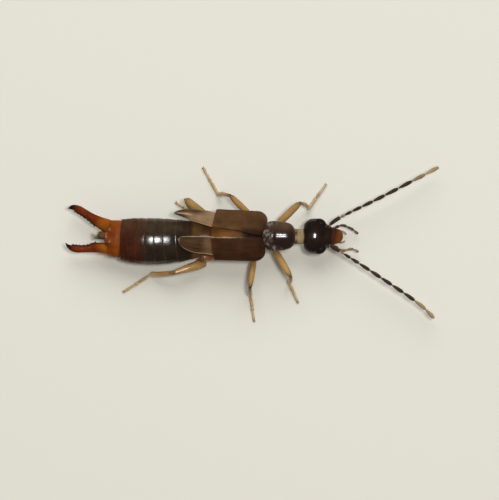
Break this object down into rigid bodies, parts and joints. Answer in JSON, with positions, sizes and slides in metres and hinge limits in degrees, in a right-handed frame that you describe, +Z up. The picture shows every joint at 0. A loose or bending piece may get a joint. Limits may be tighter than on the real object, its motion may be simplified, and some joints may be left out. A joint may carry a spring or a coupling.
{
  "type": "earwig",
  "caption": "Life-size still model of a winged male earwig: flat body, beaded antennae, short wing cases, ringed abdomen and open curved forceps, on its own feet",
  "frame": {"origin": "on the floor, under the middle of the whole model's box", "axes": "+X to the head, +Y to the animal's left, +Z up"},
  "size_m": [0.0162, 0.0068, 0.0017],
  "materials": {
    "black_cuticle": "glossy near-black brown cuticle",
    "brown_cuticle": "glossy dark brown cuticle",
    "amber_cuticle": "glossy amber to chestnut cuticle",
    "straw_cuticle": "satin straw-coloured cuticle",
    "tegmen": "leathery brown wing case",
    "wing": "folded wing, brown with pale edges",
    "eye": "black compound eye, finely pitted",
    "membrane": "soft tan neck skin",
    "antenna": "matt dark brown, the last segments pale"
  },
  "bodies": {
    "root": {"head": "black_cuticle", "eye_left": "eye", "eye_right": "eye", "labrum": "amber_cuticle", "mandible_left": "amber_cuticle", "mandible_right": "amber_cuticle", "labium": "brown_cuticle", "palp_left": "brown_cuticle", "palp_right": "brown_cuticle", "antenna_left": "antenna", "antenna_right": "antenna", "neck": "membrane", "pronotum": "brown_cuticle", "prothorax": "straw_cuticle", "thorax": "straw_cuticle", "tegmen_left": "tegmen", "tegmen_right": "tegmen", "wing_left": "wing", "wing_right": "wing", "abdomen": "black_cuticle", "last_tergite": "amber_cuticle", "pygidium": "amber_cuticle", "forceps_left": "amber_cuticle", "forceps_right": "amber_cuticle", "leg_front_left": "straw_cuticle", "leg_front_right": "straw_cuticle", "leg_middle_left": "straw_cuticle", "leg_middle_right": "straw_cuticle", "leg_hind_left": "straw_cuticle", "leg_hind_right": "straw_cuticle"}
  },
  "joints": []
}
